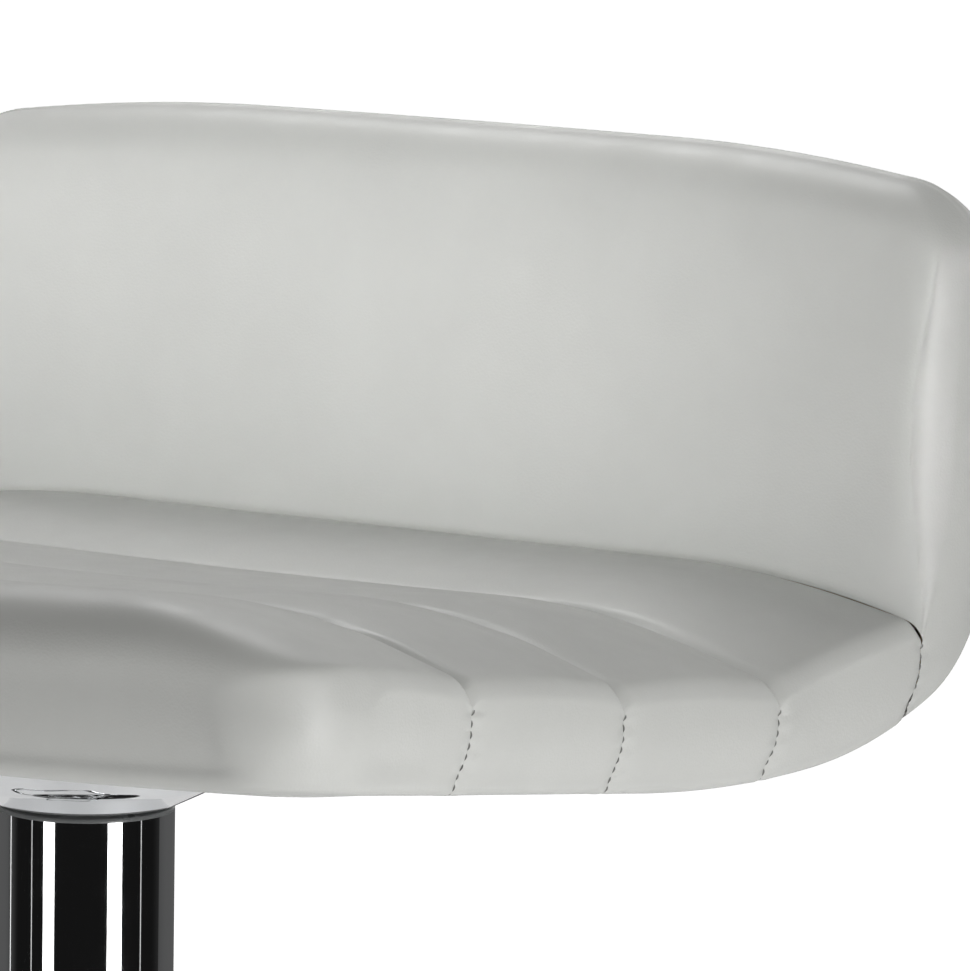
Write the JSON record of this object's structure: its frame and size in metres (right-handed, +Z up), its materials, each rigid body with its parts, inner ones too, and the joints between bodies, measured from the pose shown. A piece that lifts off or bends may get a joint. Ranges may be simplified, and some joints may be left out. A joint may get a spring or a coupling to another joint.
{
  "type": "adjustable swivel stool",
  "caption": "Low-backed bar stool with a channelled leatherette seat on a swivelling gas-lift chrome column and round trumpet base with a footrest.",
  "frame": {"origin": "on the floor, on the column's axis", "axes": "+Z up along the column, -Y the way the sitter faces, -X the sitter's right, where the lever is"},
  "size_m": [0.424, 0.4867, 0.713],
  "materials": {
    "leatherette": "fine-grained satin leatherette",
    "foam": "open-cell foam",
    "chrome": "mirror chrome plate",
    "plywood": "raw bent birch plywood",
    "steel": "bright turned steel",
    "zinc_steel": "zinc-plated steel",
    "cylinder_paint": "satin black paint",
    "aluminium": "turned aluminium",
    "cast_iron": "rough casting",
    "rubber": "matt black rubber",
    "black_plastic": "matt black moulding",
    "grey_plastic": "grey acetal"
  },
  "bodies": {
    "base": {"edge_ring": "rubber", "base_cover": "chrome", "neck_ring": "black_plastic", "bottom_sheet": "black_plastic", "sheet_screws": "zinc_steel", "base_weight": "cast_iron", "foot_plate": "steel", "foot_bolts": "zinc_steel", "column_tube": "chrome", "guide_bush": "grey_plastic", "rod_anchor": "steel", "lower_race": "steel", "footrest_loop": "chrome", "footrest_collar": "chrome", "collar_liner": "black_plastic", "collar_screws": "zinc_steel"},
    "bearing": {"ball_cage": "steel", "bearing_balls": "steel"},
    "spindle": {"upper_race": "steel", "piston_rod": "steel", "retaining_clip": "steel", "thrust_washer": "steel", "stop_bumper": "rubber", "piston": "aluminium", "piston_seal": "rubber"},
    "seat": {"gas_cylinder": "cylinder_paint", "rod_guide": "aluminium", "rod_seal": "rubber", "pressure_tube": "steel", "valve_block": "aluminium", "seat_plate": "chrome", "taper_socket": "steel", "plate_screws": "zinc_steel", "plate_washers": "zinc_steel", "tee_nuts": "zinc_steel", "lever_lugs": "steel", "lever_pin": "steel", "seat_shell": "plywood", "outer_cover": "leatherette", "seat_foam": "foam", "back_foam": "foam", "seat_cover": "leatherette", "back_cover": "leatherette"},
    "lever": {"lever_rod": "chrome", "lever_grip": "black_plastic"},
    "valve": {"valve_pin": "steel"}
  },
  "joints": [
    {"name": "seat_swivel", "type": "hinge", "parent": "base", "child": "spindle", "pos_m": [0, 0, 0.505], "axis": [0, 0, 1], "continuous": true},
    {"name": "cage_roll", "type": "hinge", "parent": "base", "child": "bearing", "pos_m": [0, 0, 0.505], "axis": [0, 0, 1], "continuous": true},
    {"name": "seat_lift", "type": "slide", "parent": "spindle", "child": "seat", "axis": [0, 0, 1], "range_m": [0, 0.22]},
    {"name": "lever_lift", "type": "hinge", "parent": "seat", "child": "lever", "pos_m": [-0.033, 0, 0.524], "axis": [0, 1, 0], "range_deg": [0, 6], "stiffness_Nm_per_rad": 3, "springref_deg": -8.59},
    {"name": "valve_press", "type": "slide", "parent": "seat", "child": "valve", "axis": [0, 0, -1], "range_m": [0, 0.0036]}
  ],
  "couplings": [
    {"joint": "cage_roll", "follows": "seat_swivel", "ratio": 0.5},
    {"joint": "valve_press", "follows": "lever_lift", "m_per_rad": 0.033}
  ]
}
